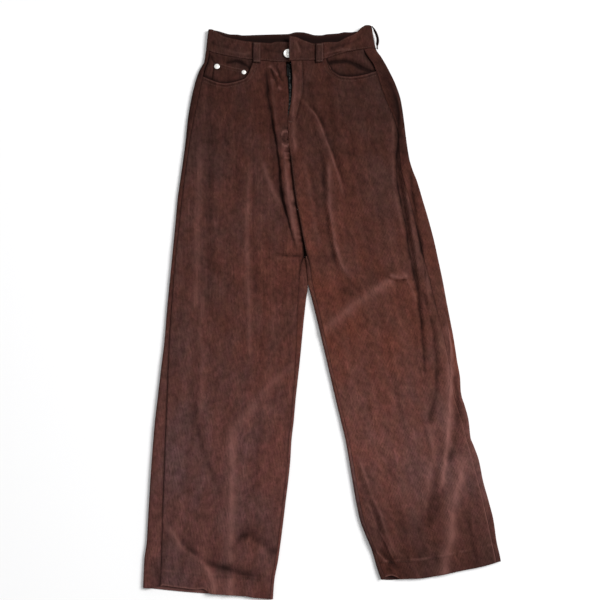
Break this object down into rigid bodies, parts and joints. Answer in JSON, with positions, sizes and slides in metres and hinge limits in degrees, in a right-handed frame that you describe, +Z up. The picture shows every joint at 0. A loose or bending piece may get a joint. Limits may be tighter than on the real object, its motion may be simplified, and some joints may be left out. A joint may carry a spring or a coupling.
{
  "type": "corduroy trousers laid flat",
  "caption": "High-waisted wide-leg corduroy trousers lying flat on their back, zip closed and waistband tab open over the button.",
  "frame": {"origin": "on the surface that the trousers lie on, under the middle of their bounding box", "axes": "+X to the wearer's left leg, +Y along the garment towards the waistband, +Z up from the surface"},
  "size_m": [0.6133, 1.043, 0.0143],
  "materials": {
    "corduroy": "corduroy with low ribs, dark reddish brown, soft nap",
    "pocket_cloth": "the same corduroy in the pocket's shade, dark brown nap",
    "zip_tape": "black woven tape",
    "black_zip_metal": "black semi-gloss",
    "silver_metal": "satin silver plating"
  },
  "bodies": {
    "trousers": {"front_right": "corduroy", "front_left": "corduroy", "back_right": "corduroy", "back_left": "corduroy", "waistband": "corduroy", "loop_front_right": "corduroy", "loop_front_left": "corduroy", "loop_side_left": "corduroy", "pocket_bearer_right": "pocket_cloth", "pocket_bearer_left": "pocket_cloth", "coin_pocket": "pocket_cloth", "zip_tape": "zip_tape", "zip_slider": "black_zip_metal", "button": "silver_metal", "rivet_outer": "silver_metal", "rivet_inner": "silver_metal"},
    "pull": {"zip_pull": "black_zip_metal"}
  },
  "joints": [
    {"name": "pull_swing", "type": "hinge", "parent": "trousers", "child": "pull", "pos_m": [-0.061, 0.4395, 0.0085], "axis": [-1, 0, 0], "range_deg": [0, 110]}
  ]
}
